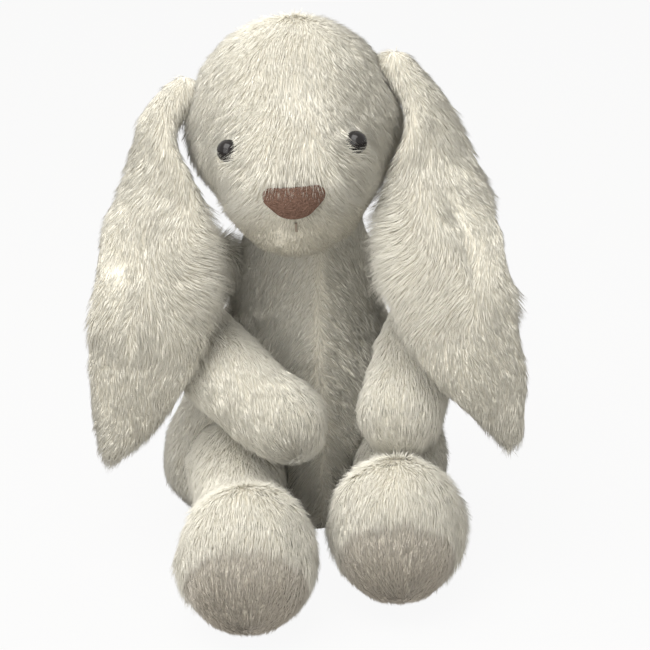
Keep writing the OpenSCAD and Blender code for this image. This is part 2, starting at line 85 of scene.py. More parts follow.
# ---------------------------------------------------------------- Studio
# A sweep of white paper under two soft boxes, a broad one above and a weak one in front. The
# paper shows almost white to the lens and throws little light back up at the toy.
floor_z = cad_bounds[0][2]
paper_white = 0.93               # how much of what the lens sees is the paper's own glow
air_light = 0.52                 # light that the room gives back from all round
paper = bpy.data.materials.new("studio_paper")
paper.use_nodes = True
nodes, links = paper.node_tree.nodes, paper.node_tree.links
nodes.clear()
out = nodes.new("ShaderNodeOutputMaterial")
seen = nodes.new("ShaderNodeLightPath")
glow = nodes.new("ShaderNodeEmission")
glow.inputs["Strength"].default_value = 1.0
matt = nodes.new("ShaderNodeBsdfDiffuse")
matt.inputs["Color"].default_value = (0.42, 0.41, 0.39, 1)
pick = nodes.new("ShaderNodeMixShader")
share = nodes.new("ShaderNodeMath")
share.operation = "MULTIPLY"
share.inputs[1].default_value = paper_white
links.new(seen.outputs["Is Camera Ray"], share.inputs[0])
links.new(share.outputs[0], pick.inputs["Fac"])
links.new(matt.outputs[0], pick.inputs[1])
links.new(glow.outputs[0], pick.inputs[2])
links.new(pick.outputs[0], out.inputs["Surface"])

sweep = bmesh.new()
bmesh.ops.create_grid(sweep, x_segments=1, y_segments=1, size=3.0)
bmesh.ops.translate(sweep, verts=sweep.verts, vec=(0, 0, floor_z))
sweep_mesh = bpy.data.meshes.new("studio_floor")
sweep.to_mesh(sweep_mesh)
sweep.free()
sweep_mesh.materials.append(paper)
studio_floor = bpy.data.objects.new("studio_floor", sweep_mesh)
bpy.context.scene.collection.objects.link(studio_floor)


def softbox(name, place, aim, size, watts, colour):
    """A square soft box that faces aim."""
    data = bpy.data.lights.new(name, "AREA")
    data.shape = "SQUARE"
    data.size = size
    data.energy = watts
    data.color = colour
    lamp = bpy.data.objects.new(name, data)
    lamp.location = place
    lamp.rotation_euler = (Vector(place) - Vector(aim)).to_track_quat("Z", "Y").to_euler()
    bpy.context.scene.collection.objects.link(lamp)


softbox("overhead_box", (-0.25, -0.45, 1.10), (0, -0.02, 0.12), 0.9, 14.0, (1.0, 0.985, 0.955))
softbox("front_box", (-0.50, -1.15, 0.45), (0, 0, 0.12), 1.1, 10.0, (1.0, 0.985, 0.96))

# The room: pure white where the lens or a gloss sees it, and dimmer where it lights the toy
world = bpy.data.worlds.new("studio_air")
bpy.context.scene.world = world
world.use_nodes = True
nodes, links = world.node_tree.nodes, world.node_tree.links
nodes.clear()
out = nodes.new("ShaderNodeOutputWorld")
air = nodes.new("ShaderNodeBackground")
air.inputs["Color"].default_value = (1.0, 0.99, 0.97, 1)
bright = nodes.new("ShaderNodeMath")
bright.operation = "MAXIMUM"
clear = nodes.new("ShaderNodeMath")
clear.operation = "MAXIMUM"
seen = nodes.new("ShaderNodeLightPath")
links.new(seen.outputs["Is Camera Ray"], clear.inputs[0])
links.new(seen.outputs["Is Glossy Ray"], clear.inputs[1])
links.new(clear.outputs[0], bright.inputs[0])
bright.inputs[1].default_value = air_light
links.new(bright.outputs[0], air.inputs["Strength"])
links.new(air.outputs[0], out.inputs["Surface"])


# ---------------------------------------------------------------- Torso
# Two front panels meet in a centre seam and a back panel closes the sides. All are long-pile
# fabric, drawn tight over the stuffing, and a flat seat panel closes the bottom.
cad = frame["nodes"]
pile_backing = 0.0009            # from the stuffing out to the fabric's backing
puff = 0.0012                    # how far the filling may swell the fabric between its seams
filling_weave = 0.004            # mesh size of the fabric while it is blown up
ease_rounds = 4                  # how often the remeshed fabric is evened out
bag_pressure = 4                 # what the filling presses with
cloth_frames = 20                # how long the fabric is blown up for
sewn_least = 0.05                # fabric held less than this moves freely
lump_height = 0.0010             # how much the filling bulges, from hollow to crown
filling_lumps = bpy.data.textures.new("filling_lumps", "CLOUDS")
filling_lumps.noise_scale = 0.024
filling_lumps.noise_depth = 1


def apply_modifiers(piece):
    """Makes the modified shape the piece's own mesh."""
    graph = bpy.context.evaluated_depsgraph_get()
    shaped = bpy.data.meshes.new_from_object(piece.evaluated_get(graph))
    shaped.name = piece.name
    piece.modifiers.clear()
    piece.data = shaped


def places(mesh):
    """Where each vertex is."""
    found = np.empty(len(mesh.vertices) * 3)
    mesh.vertices.foreach_get("co", found)
    return found.reshape(-1, 3)


def facings(mesh):
    """Which way each vertex faces."""
    found = np.empty(len(mesh.vertices) * 3)
    mesh.vertices.foreach_get("normal", found)
    return found.reshape(-1, 3)


def smooth_step(x, low, high):
    """Rises smoothly from 0 at low to 1 at high."""
    t = np.clip((x - low) / (high - low), 0, 1)
    return t * t * (3 - 2 * t)


def note(mesh, name, values):
    """Keeps one number or one vector for each vertex under a name."""
    values = np.asarray(values, dtype=np.float32)
    kind, field = ("FLOAT_VECTOR", "vector") if values.ndim == 2 else ("FLOAT", "value")
    if name in mesh.attributes:
        mesh.attributes.remove(mesh.attributes[name])
    mesh.attributes.new(name, kind, "POINT").data.foreach_set(field, values.ravel())


def no_seams(spots, normals):
    """A skin that is held nowhere."""
    return np.zeros(len(spots))


def blow_up(skin, seams):
    """Swells a skin like a stuffed bag, held where seams is 1, by at most the puff."""
    start = places(skin.data)
    held = np.clip(seams(start, facings(skin.data)), 0, 1)
    sewn = skin.vertex_groups.new(name="sewn")
    for i in np.flatnonzero(held > sewn_least):
        sewn.add([int(i)], float(held[i]), "REPLACE")
    cloth = skin.modifiers.new("blown_up", "CLOTH")
    cloth.settings.use_pressure = True
    cloth.settings.uniform_pressure_force = bag_pressure
    cloth.settings.vertex_group_mass = "sewn"
    cloth.settings.quality = 4
    cloth.settings.mass = 0.2
    cloth.settings.effector_weights.gravity = 0
    cloth.collision_settings.use_collision = False
    cloth.point_cache.frame_start = 1
    cloth.point_cache.frame_end = cloth_frames
    for frame_number in range(1, cloth_frames + 1):
        bpy.context.scene.frame_set(frame_number)
    graph = bpy.context.evaluated_depsgraph_get()
    swollen = bpy.data.meshes.new_from_object(skin.evaluated_get(graph))
    moved = places(swollen) - start
    bpy.data.meshes.remove(swollen)
    skin.modifiers.clear()
    bpy.context.scene.frame_set(1)
    far = np.linalg.norm(moved, axis=1)
    moved *= (np.minimum(far, puff) / np.maximum(far, 1e-9))[:, None]
    skin.data.vertices.foreach_set("co", (start + moved).ravel())
    skin.vertex_groups.clear()
    skin.data.update()


def stuffed_skin(name, fillings, body, seams=no_seams, grow=pile_backing):
    """The backing of a body's fabric, drawn over its stuffing and swollen between its seams."""
    fill = bmesh.new()
    for node in fillings:
        fill.from_mesh(cad[node].data)
    bmesh.ops.remove_doubles(fill, verts=fill.verts, dist=1e-6)
    mesh = bpy.data.meshes.new(name)
    fill.to_mesh(mesh)
    fill.free()
    skin = bpy.data.objects.new(name, mesh)
    bpy.context.scene.collection.objects.link(skin)
    even = skin.modifiers.new("even_weave", "REMESH")
    even.mode = "VOXEL"
    even.voxel_size = filling_weave
    even.use_smooth_shade = True
    out = skin.modifiers.new("over_the_stuffing", "DISPLACE")
    out.strength = grow
    out.mid_level = 0
    soft = skin.modifiers.new("eased", "SMOOTH")
    soft.factor = 0.5
    soft.iterations = ease_rounds
    apply_modifiers(skin)
    blow_up(skin, seams)
    lumps = skin.modifiers.new("lumps_of_filling", "DISPLACE")
    lumps.texture = filling_lumps
    lumps.texture_coords = "LOCAL"
    lumps.strength = lump_height
    lumps.mid_level = 0.5
    finer = skin.modifiers.new("finer_weave", "SUBSURF")
    finer.levels = finer.render_levels = 1
    apply_modifiers(skin)
    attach(skin, body)
    return skin


def comb_pile(skin, flow, length, lift, cover=1.0, shade=0.0):
    """Combs a skin: which way its pile lies, how long it is, how far it stands up, where it
    grows and how much painted shade darkens it (below zero, painted light makes it paler)."""
    mesh = skin.data
    normals = facings(mesh)
    flat = flow - (flow * normals).sum(1, keepdims=True) * normals
    flat /= np.maximum(np.linalg.norm(flat, axis=1, keepdims=True), 1e-6)
    ones = np.ones(len(normals))
    note(mesh, "comb", flat)
    note(mesh, "pile_length", length * ones)
    note(mesh, "pile_cover", cover * ones)
    note(mesh, "pile_lift", lift * ones)
    note(mesh, "pile_shade", shade * ones)


# One fibre lock of the pile: a thin spindle with a root, a waist and a fine tip
lock_waist = 0.32                # how far up its length a lock is thickest
lock_mesh = bpy.data.meshes.new("fibre_lock")
lock = bmesh.new()
bmesh.ops.create_circle(lock, cap_ends=False, segments=3, radius=0.5)
bmesh.ops.translate(lock, verts=lock.verts, vec=(0, 0, lock_waist))
waist = list(lock.edges)
for height in (0.0, 1.0):
    cone = bmesh.ops.extrude_edge_only(lock, edges=waist)
    end = [v for v in cone["geom"] if isinstance(v, bmesh.types.BMVert)]
    bmesh.ops.pointmerge(lock, verts=end, merge_co=(0, 0, height))
bmesh.ops.recalc_face_normals(lock, faces=lock.faces)
lock.to_mesh(lock_mesh)
lock.free()
rings = places(lock_mesh)
note(lock_mesh, "along", rings[:, 2])
at_waist = np.abs(rings[:, 2] - lock_waist) < 0.01
note(lock_mesh, "across", np.sign(np.round(rings[:, 0], 4)) * at_waist)
fibre_lock = bpy.data.objects.new("fibre_lock", lock_mesh)


# Each lock's chart keeps a margin: its tone runs one way and its length the other
chart_margin, chart_span, chart_breadth = 0.03, 0.94, 0.015
full_turn = 6.283
length_spread = (0.7, 1.15)      # the shortest and the longest lock, against the combed length
girth_spread = (0.6, 1.3)        # the thinnest and the thickest lock
wave_scale, wave_reach = 55, 1.25             # lazy waves through the comb
tip_forward, tip_sink = 0.25, 0.16            # how far a tip runs on and sinks, by its length
middle_tone, lock_tone, clump_tone = 0.25, 0.18, 0.15
palest, darkest = 0.03, 0.97


def pile_nodes():
    """Geometry nodes that plant a fibre lock at each follicle of a combed skin. Locks lie
    along the comb, lean together in clumps and bend over towards their tips."""
    tree = bpy.data.node_groups.new("planted_pile", "GeometryNodeTree")
    face = tree.interface
    face.new_socket("Geometry", in_out="INPUT", socket_type="NodeSocketGeometry")
    for label in ("Density", "Width", "Clump", "Pull", "Stray"):
        face.new_socket(label, in_out="INPUT", socket_type="NodeSocketFloat")
    face.new_socket("Seed", in_out="INPUT", socket_type="NodeSocketInt")
    face.new_socket("Material", in_out="INPUT", socket_type="NodeSocketMaterial")
    face.new_socket("Geometry", in_out="OUTPUT", socket_type="NodeSocketGeometry")

    def add(kind, **settings):
        node = tree.nodes.new(kind)
        for key, value in settings.items():
            setattr(node, key, value)
        return node

    def join(source, target):
        tree.links.new(source, target)

    def kept(name, kind="FLOAT"):
        node = add("GeometryNodeInputNamedAttribute", data_type=kind)
        node.inputs["Name"].default_value = name
        return node.outputs["Attribute"]

    def sums(operation, a, b, kind="ShaderNodeVectorMath"):
        node = add(kind, operation=operation)
        for value, socket in ((a, node.inputs[0]), (b, node.inputs[1])):
            if isinstance(value, bpy.types.NodeSocket):
                join(value, socket)
            elif value is not None:
                socket.default_value = value
        return node.outputs[0]

    def scaled(vector, by):
        node = add("ShaderNodeVectorMath", operation="SCALE")
        join(vector, node.inputs[0])
        if isinstance(by, bpy.types.NodeSocket):
            join(by, node.inputs["Scale"])
        else:
            node.inputs["Scale"].default_value = by
        return node.outputs[0]

    def times(a, b):
        return sums("MULTIPLY", a, b, "ShaderNodeMath")

    def charted(value):
        return sums("ADD", times(value, chart_span), chart_margin, "ShaderNodeMath")

    def chance(kind, low, high, seed):
        node = add("FunctionNodeRandomValue", data_type=kind)
        first = 0 if kind == "FLOAT_VECTOR" else 2
        node.inputs[first].default_value = low
        node.inputs[first + 1].default_value = high
        node.inputs["Seed"].default_value = seed
        return node.outputs[0 if kind == "FLOAT_VECTOR" else 1]

    entry = add("NodeGroupInput")
    given = entry.outputs
    plant = add("GeometryNodeDistributePointsOnFaces", distribute_method="RANDOM")
    join(given["Geometry"], plant.inputs["Mesh"])
    join(times(given["Density"], kept("pile_cover")), plant.inputs["Density"])
    join(given["Seed"], plant.inputs["Seed"])
    up = plant.outputs["Normal"]
    place = add("GeometryNodeInputPosition").outputs[0]
    comb = kept("comb", "FLOAT_VECTOR")
    reach = times(kept("pile_length"), chance("FLOAT", *length_spread, 3))

    # Lazy waves through the comb, and stray fibres
    wave = add("ShaderNodeTexNoise", noise_dimensions="3D")
    wave.inputs["Scale"].default_value = wave_scale
    wave.inputs["Detail"].default_value = 2
    join(place, wave.inputs["Vector"])
    drift = scaled(sums("SUBTRACT", wave.outputs["Color"], (0.5, 0.5, 0.5)), wave_reach)
    stray = scaled(chance("FLOAT_VECTOR", (-1, -1, -1), (1, 1, 1), 5), given["Stray"])
    lean = sums("ADD", sums("ADD", comb, drift), stray)
    stand = scaled(up, kept("pile_lift"))
    heading = sums("NORMALIZE", sums("ADD", lean, stand), None)

    # Each lock's tip is drawn towards the middle of its clump and sinks back to the skin
    clumps = add("ShaderNodeTexVoronoi", voronoi_dimensions="3D", feature="F1")
    join(place, clumps.inputs["Vector"])
    join(sums("DIVIDE", 1.0, given["Clump"], "ShaderNodeMath"), clumps.inputs["Scale"])
    inwards = scaled(sums("SUBTRACT", clumps.outputs["Position"], place), given["Pull"])
    sag = scaled(sums("SUBTRACT", scaled(comb, tip_forward), scaled(up, tip_sink)), reach)
    bend = sums("ADD", inwards, sag)

    # Tone: darker away from the middle of each clump and a little different for each lock,
    # plus the comb's painted shade, or painted light where it is below zero
    tone = sums("ADD", times(clumps.outputs["Distance"], clump_tone),
                chance("FLOAT", -lock_tone, lock_tone, 9), "ShaderNodeMath")
    tone = sums("ADD", tone, kept("pile_shade"), "ShaderNodeMath")
    limit = add("ShaderNodeClamp")
    join(sums("ADD", tone, middle_tone, "ShaderNodeMath"), limit.inputs["Value"])
    limit.inputs["Min"].default_value = palest
    limit.inputs["Max"].default_value = darkest

    points = plant.outputs["Points"]
    for name, kind, value in (("bend", "FLOAT_VECTOR", bend),
                              ("tone", "FLOAT", limit.outputs[0])):
        keep = add("GeometryNodeStoreNamedAttribute", data_type=kind, domain="POINT")
        keep.inputs["Name"].default_value = name
        join(points, keep.inputs["Geometry"])
        join(value, keep.inputs["Value"])
        points = keep.outputs["Geometry"]

    turn = add("FunctionNodeEulerToRotation")
    roll = add("ShaderNodeCombineXYZ")
    join(chance("FLOAT", 0, full_turn, 7), roll.inputs["Z"])
    join(roll.outputs[0], turn.inputs[0])
    align = add("FunctionNodeAlignRotationToVector", axis="Z")
    join(turn.outputs[0], align.inputs["Rotation"])
    join(heading, align.inputs["Vector"])
    size = add("ShaderNodeCombineXYZ")
    girth = times(given["Width"], chance("FLOAT", *girth_spread, 11))
    join(girth, size.inputs["X"])
    join(girth, size.inputs["Y"])
    join(reach, size.inputs["Z"])

    source = add("GeometryNodeObjectInfo")
    source.inputs["Object"].default_value = fibre_lock
    put = add("GeometryNodeInstanceOnPoints")
    join(points, put.inputs["Points"])
    join(source.outputs["Geometry"], put.inputs["Instance"])
    join(align.outputs["Rotation"], put.inputs["Rotation"])
    join(size.outputs[0], put.inputs["Scale"])
    real = add("GeometryNodeRealizeInstances")
    join(put.outputs[0], real.inputs[0])

    along = kept("along")
    curl = add("GeometryNodeSetPosition")
    join(real.outputs[0], curl.inputs["Geometry"])
    join(scaled(kept("bend", "FLOAT_VECTOR"), times(along, along)), curl.inputs["Offset"])

    chart = add("ShaderNodeCombineXYZ")
    join(sums("ADD", times(kept("across"), chart_breadth), charted(kept("tone")),
              "ShaderNodeMath"), chart.inputs["X"])
    join(charted(along), chart.inputs["Y"])
    uv = add("GeometryNodeStoreNamedAttribute", data_type="FLOAT2", domain="CORNER")
    uv.inputs["Name"].default_value = "OFBake"
    join(curl.outputs[0], uv.inputs["Geometry"])
    join(chart.outputs[0], uv.inputs["Value"])
    shape = uv.outputs["Geometry"]
    for name in ("comb", "pile_length", "pile_cover", "pile_lift", "pile_shade", "bend",
                 "tone", "along", "across", "id"):
        drop = add("GeometryNodeRemoveAttribute")
        drop.inputs["Name"].default_value = name
        join(shape, drop.inputs["Geometry"])
        shape = drop.outputs["Geometry"]
    shade = add("GeometryNodeSetShadeSmooth")
    join(shape, shade.inputs["Geometry"])
    dress = add("GeometryNodeSetMaterial")
    join(shade.outputs[0], dress.inputs["Geometry"])
    join(given["Material"], dress.inputs["Material"])
    leave = add("NodeGroupOutput")
    join(dress.outputs[0], leave.inputs[0])
    return tree


planted_pile = pile_nodes()
pile_socket = {s.name: s.identifier for s in planted_pile.interface.items_tree
               if s.in_out == "INPUT"}
planted = []                     # the panels planted so far, which seed the next one
pile_density = 1.98e6            # locks to a square metre
lock_width = 0.00029
clump_size = 0.006               # from the middle of one clump to the next
clump_pull = 0.14                # how far a tip is drawn to the middle of its clump
stray_share = 0.10               # how far a lock strays from the comb


def grow_pile(skin, name, mask, body, material, stands_for, width=lock_width):
    """Plants the pile of one panel, where mask is above zero, as a piece of its own."""
    patch = bpy.data.objects.new(name, skin.data.copy())
    bpy.context.scene.collection.objects.link(patch)
    mesh = patch.data
    cover = np.empty(len(mesh.vertices), dtype=np.float32)
    mesh.attributes["pile_cover"].data.foreach_get("value", cover)
    note(mesh, "pile_cover", cover * mask)
    mesh.materials.clear()
    grow = patch.modifiers.new("pile", "NODES")
    grow.node_group = planted_pile
    values = {"Density": pile_density, "Width": width, "Clump": clump_size,
              "Pull": clump_pull, "Stray": stray_share, "Seed": len(planted) + 1,
              "Material": material}
    for label, value in values.items():
        grow[pile_socket[label]] = value
    apply_modifiers(patch)
    patch.data.materials.clear()
    patch.data.materials.append(material)
    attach(patch, body)
    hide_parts(*stands_for)
    planted.append(name)


def shader_group(name, takes, gives):
    """An empty shader group with its named sockets, and the nodes that hold them."""
    group = bpy.data.node_groups.new(name, "ShaderNodeTree")
    for label, kind in takes.items():
        group.interface.new_socket(label, in_out="INPUT", socket_type="NodeSocket" + kind)
    for label, kind in gives.items():
        group.interface.new_socket(label, in_out="OUTPUT", socket_type="NodeSocket" + kind)
    given = group.nodes.new("NodeGroupInput").outputs
    result = group.nodes.new("NodeGroupOutput").inputs
    return group, given, result


def place_group(nodes, group, **values):
    """Puts a group into a material with its own numbers and colours."""
    node = nodes.new("ShaderNodeGroup")
    node.node_tree = group
    for label, value in values.items():
        socket = node.inputs[label]
        socket.default_value = (*value, 1) if isinstance(value, tuple) else value
    return node


def pile_tone_group():
    """Tone of a fibre lock: its root's darker colour, painted shade between the locks, fades to
    its tip's, and the Shadow colour darkens some locks more, by their tone.
    """
    group, given, result = shader_group(
        "pile_tone", {"Chart": "Vector", "Tip": "Color", "Root": "Color", "Shadow": "Color"},
        {"Color": "Color"})
    nodes, links = group.nodes, group.links
    split = nodes.new("ShaderNodeSeparateXYZ")
    links.new(given["Chart"], split.inputs[0])
    fade = nodes.new("ShaderNodeMapRange")
    fade.interpolation_type = "SMOOTHSTEP"
    fade.inputs["From Min"].default_value = 0.0
    fade.inputs["From Max"].default_value = 0.6
    links.new(split.outputs["Y"], fade.inputs["Value"])
    lengthwise = nodes.new("ShaderNodeMix")
    lengthwise.data_type = "RGBA"
    links.new(fade.outputs["Result"], lengthwise.inputs["Factor"])
    links.new(given["Root"], lengthwise.inputs["A"])
    links.new(given["Tip"], lengthwise.inputs["B"])
    darker = nodes.new("ShaderNodeMix")
    darker.data_type = "RGBA"
    darker.blend_type = "MULTIPLY"
    links.new(split.outputs["X"], darker.inputs["Factor"])
    links.new(lengthwise.outputs["Result"], darker.inputs["A"])
    links.new(given["Shadow"], darker.inputs["B"])
    links.new(darker.outputs["Result"], result["Color"])
    return group


def fine_grain_group():
    """Fine cloudy grain between two colours, and its height for a bump or a haze."""
    group, given, result = shader_group(
        "fine_grain", {"Place": "Vector", "Scale": "Float", "Detail": "Float",
                       "Hollow": "Color", "Raised": "Color"},
        {"Color": "Color", "Height": "Float"})
    nodes, links = group.nodes, group.links
    grain = nodes.new("ShaderNodeTexNoise")
    links.new(given["Place"], grain.inputs["Vector"])
    links.new(given["Scale"], grain.inputs["Scale"])
    links.new(given["Detail"], grain.inputs["Detail"])
    tone = nodes.new("ShaderNodeMix")
    tone.data_type = "RGBA"
    links.new(grain.outputs["Fac"], tone.inputs["Factor"])
    links.new(given["Hollow"], tone.inputs["A"])
    links.new(given["Raised"], tone.inputs["B"])
    links.new(tone.outputs["Result"], result["Color"])
    links.new(grain.outputs["Fac"], result["Height"])
    return group


pile_tone = pile_tone_group()
fine_grain = fine_grain_group()


def pile_material(name, tip, root, shadow=(0.86, 0.84, 0.795)):
    """Pile fibres: darker towards their roots with painted shade between the locks, pale at
    their tips, no two locks quite alike.
    """
    material = bpy.data.materials.new(name)
    material.use_nodes = True
    nodes, links = material.node_tree.nodes, material.node_tree.links
    surface = nodes["Principled BSDF"]
    surface.inputs["Roughness"].default_value = 0.85
    surface.inputs["Specular IOR Level"].default_value = 0.25
    surface.inputs["Sheen Weight"].default_value = 0.15
    surface.inputs["Sheen Roughness"].default_value = 0.5
    chart = nodes.new("ShaderNodeUVMap")
    chart.uv_map = "OFBake"
    tone = place_group(nodes, pile_tone, Tip=tip, Root=root, Shadow=shadow)
    links.new(chart.outputs["UV"], tone.inputs["Chart"])
    links.new(tone.outputs["Color"], surface.inputs["Base Color"])
    return material


def grainy_material(name, raised, hollow, grain=900, relief=0.0003):
    """A dull grainy finish: knitted backing, felted fibre, cloth, thread or flock."""
    material = bpy.data.materials.new(name)
    material.use_nodes = True
    nodes, links = material.node_tree.nodes, material.node_tree.links
    surface = nodes["Principled BSDF"]
    surface.inputs["Roughness"].default_value = 0.95
    surface.inputs["Specular IOR Level"].default_value = 0.1
    place = nodes.new("ShaderNodeTexCoord")
    knit = place_group(nodes, fine_grain, Scale=grain, Detail=3, Hollow=hollow, Raised=raised)
    links.new(place.outputs["Object"], knit.inputs["Place"])
    links.new(knit.outputs["Color"], surface.inputs["Base Color"])
    bump = nodes.new("ShaderNodeBump")
    bump.inputs["Distance"].default_value = relief
    links.new(knit.outputs["Height"], bump.inputs["Height"])
    links.new(bump.outputs["Normal"], surface.inputs["Normal"])
    return material


# Pale tips, and roots darkened by painted shade between the locks
cream_pile = pile_material("cream_pile", (0.92, 0.90, 0.82), (0.78, 0.75, 0.66))
cream_backing = grainy_material("cream_backing", (0.80, 0.77, 0.68), (0.66, 0.62, 0.52))

# The torso turns a little about the vertical; its own left-right and front-back directions
torso_yaw = math.radians(12)
torso_left = np.array((math.cos(torso_yaw), math.sin(torso_yaw), 0))
torso_back = np.array((-math.sin(torso_yaw), math.cos(torso_yaw), 0))
torso_middle = np.mean(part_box("seat_panel"), axis=0) * (1, 1, 0)
side_seam_deep = 0.010           # how far behind the middle the side seams run
seam_pinch = 0.003               # how far from its middle a seam holds the fabric
torso_pile_length = 0.0062
torso_part_short = 0.0020        # how much shorter the pile is along the centre seam


def torso_seams(spots, normals):
    """The centre seam of the two front panels and the two side seams."""
    spots = spots - torso_middle
    across, deep = spots @ torso_left, spots @ torso_back
    centre = np.exp(-(across / seam_pinch) ** 2) * (deep < 0)
    return centre + np.exp(-((deep - side_seam_deep) / seam_pinch) ** 2)


torso_skin = stuffed_skin("torso_backing", ["torso_stuffing", "seat_bean_pouch"], "torso",
                          torso_seams)
spots = places(torso_skin.data) - torso_middle
across, deep, high = spots @ torso_left, spots @ torso_back, spots[:, 2]

# The pile hangs down, parts at the centre seam and is left off where the toy sits on it
seam_side = np.where(across >= 0, 1.0, -1.0)
front = smooth_step(-deep, -0.010, 0.010)
part = front * np.exp(-np.abs(across) / 0.030)
flow = (seam_side * part * 0.9)[:, None] * torso_left + np.array((0, 0, -1.0))
seated = smooth_step(high, 0.002, 0.008)
pile = torso_pile_length - torso_part_short * np.exp(-np.abs(across) / 0.004) * front
# The torso's pile carries painted light: a shade below zero makes all of it paler
comb_pile(torso_skin, flow, pile, lift=0.46, cover=seated, shade=-0.2)
torso_skin.data.materials.append(cream_backing)
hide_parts("torso_front_left", "torso_front_right", "torso_back", "seat_panel")
is_back = deep > side_seam_deep
grow_pile(torso_skin, "torso_pile_front_left", ~is_back & (across >= 0), "torso", cream_pile,
          ["torso_front_left"])
grow_pile(torso_skin, "torso_pile_front_right", ~is_back & (across < 0), "torso", cream_pile,
          ["torso_front_right"])
grow_pile(torso_skin, "torso_pile_back", is_back, "torso", cream_pile, ["torso_back"])

# ---------------------------------------------------------------- Tail
# A round puff of the same pile, gathered over a ball of stuffing and sewn to the back. Its pile
# is longer and stands out all round.
tail_pile_length = 0.0085
tail_skin = stuffed_skin("tail_backing", ["tail_stuffing"], "torso")
spots = places(tail_skin.data)
flow = (spots - spots.mean(0)) * (1, 0.2, 1) + np.array((0, 0.004, -0.006))
comb_pile(tail_skin, flow, tail_pile_length, lift=0.9)
tail_skin.data.materials.append(cream_backing)
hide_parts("tail_skin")
grow_pile(tail_skin, "tail_pile", np.ones(len(spots)), "torso", cream_pile, ["tail_skin"])

# ---------------------------------------------------------------- Head
# Two sides and a centre gusset that runs from the nose over the crown to the nape, sewn over
# the stuffing. The pile is combed down the brow to the nose, fans out over the cheeks, leans
# over the inner edge of each eye and hangs over the top of the nose.
SIDES = {"left": 1, "right": -1}
head_middle = np.mean(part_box("head_stuffing"), axis=0)
gusset_half = 0.015              # half the width of the gusset
head_roll = math.radians(4)      # how far the head tips to its right
head_across = np.array((math.cos(head_roll), 0, math.sin(head_roll)))
nose_tip = places(cad["nose"].data).mean(0)
head_pile_length = 0.0064
eye_edge = 0.0045                # from the middle of an eye to the pile round it


def head_seams(spots, normals):
    """The two seams where the gusset meets the sides."""
    off = np.abs(np.abs((spots - head_middle) @ head_across) - gusset_half)
    above_nose = smooth_step(spots[:, 2] - nose_tip[2], -0.01, 0.02)
    return 0.8 * np.exp(-(off / seam_pinch) ** 2) * above_nose


def outermost(node, middle):
    """The point of a node that is farthest from a middle."""
    found = places(cad[node].data)
    return found[np.argmax(np.linalg.norm(found - middle, axis=1))]


head_skin = stuffed_skin("head_backing",
                         ["head_stuffing", "eye_washer_left", "eye_washer_right", "nose_washer"],
                         "head", head_seams)
spots = places(head_skin.data)
away = spots - nose_tip
reach = np.linalg.norm(away, axis=1)
away /= np.maximum(reach, 1e-4)[:, None]
sideways = (spots - head_middle) @ head_across
over_nose = spots[:, 2] - nose_tip[2]
above = smooth_step(over_nose, -0.006, 0.006)
behind = smooth_step(spots[:, 1] - head_middle[1], 0.014, 0.040)

# The brow's pile runs down to the nose and fans out over the cheeks; the chin's runs back
fan = np.sign(sideways) * smooth_step(np.abs(sideways), 0.006, 0.024)
level = np.exp(-((over_nose - 0.012) / 0.014) ** 2)
brow = (fan * (0.5 + 1.6 * level))[:, None] * head_across + np.array((0, -0.5, -1.0))
flow = above[:, None] * brow + (1 - above)[:, None] * (away + np.array((0, 0, -0.3)))
flow = (1 - behind)[:, None] * flow + behind[:, None] * np.array((0, 0.5, -1.0))
chin = smooth_step(-over_nose, 0.0, 0.014)
near_nose = 1 - smooth_step(reach, 0.008, 0.022)
pile = head_pile_length - 0.0012 * near_nose * (1 - above) - 0.0018 * chin
pile = pile + 0.0016 * level * np.abs(fan)
lift = 0.46 - 0.14 * chin + 0.45 * near_nose * above
cover = smooth_step(np.linalg.norm((away * reach[:, None])[:, (0, 2)], axis=1), 0.0035, 0.0055)

# Long pile round each eye: it leans over the eye on the nose's side and away on the other
for word, side in SIDES.items():
    stem = np.mean(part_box(f"eye_washer_{word}"), axis=0)
    dome = outermost(f"eye_{word}", stem)
    axis = (dome - stem) / np.linalg.norm(dome - stem)
    out_along = (spots - stem) @ axis
    from_axis = (spots - stem) - out_along[:, None] * axis
    ring = np.linalg.norm(from_axis, axis=1)
    outward = from_axis / np.maximum(ring, 1e-5)[:, None]
    close = np.exp(-(np.maximum(ring - eye_edge, 0) / 0.0035) ** 2) * (out_along > 0)
    inner = smooth_step(-(outward @ head_across) * side, -0.1, 0.6)
    over_eye = (close * inner)[:, None]
    beside = (close * (1 - inner))[:, None]
    flow = flow * (1 - over_eye) - over_eye * outward * 1.2
    flow = flow * (1 - 0.7 * beside) + beside * outward * 0.5
    lift = lift + close * (0.86 * inner + 0.30)
    pile = pile + 0.0036 * close * inner - 0.0004 * close * (1 - inner)
    cover = cover * np.where(out_along > 0, smooth_step(ring, 0.0042, 0.0050), 1.0)

# A tuft stands out on each side of the nose
for side in SIDES.values():
    tuft = nose_tip + 0.0175 * side * head_across + np.array((0, 0.004, 0.001))
    near = np.exp(-(np.linalg.norm(spots - tuft, axis=1) / 0.0055) ** 2)
    pile = pile + 0.0034 * near
    lift = lift + 0.35 * near
    flow = flow + (1.2 * near)[:, None] * (side * head_across + np.array((0, 0, -0.7)))

# The sides are full where the ears hang, and a brim of long pile hangs over the nose
lift = lift + 0.30 * smooth_step(np.abs(sideways), 0.030, 0.040)
brim = np.exp(-((over_nose - 0.0085) / 0.0030) ** 2) * (reach < 0.020)
brim = brim * (spots[:, 1] < head_middle[1])
pile = pile + 0.0030 * brim
lift = lift + 0.45 * brim
# Painted shade under the chin: the pile below the nose is coloured darker
comb_pile(head_skin, flow, pile, lift=lift, cover=cover, shade=0.6 * chin)
head_skin.data.materials.append(cream_backing)
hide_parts("head_gusset", "head_side_left", "head_side_right")
grow_pile(head_skin, "head_pile_gusset", np.abs(sideways) <= gusset_half, "head", cream_pile,
          ["head_gusset"])
grow_pile(head_skin, "head_pile_left", sideways > gusset_half, "head", cream_pile,
          ["head_side_left"])
grow_pile(head_skin, "head_pile_right", sideways < -gusset_half, "head", cream_pile,
          ["head_side_right"])

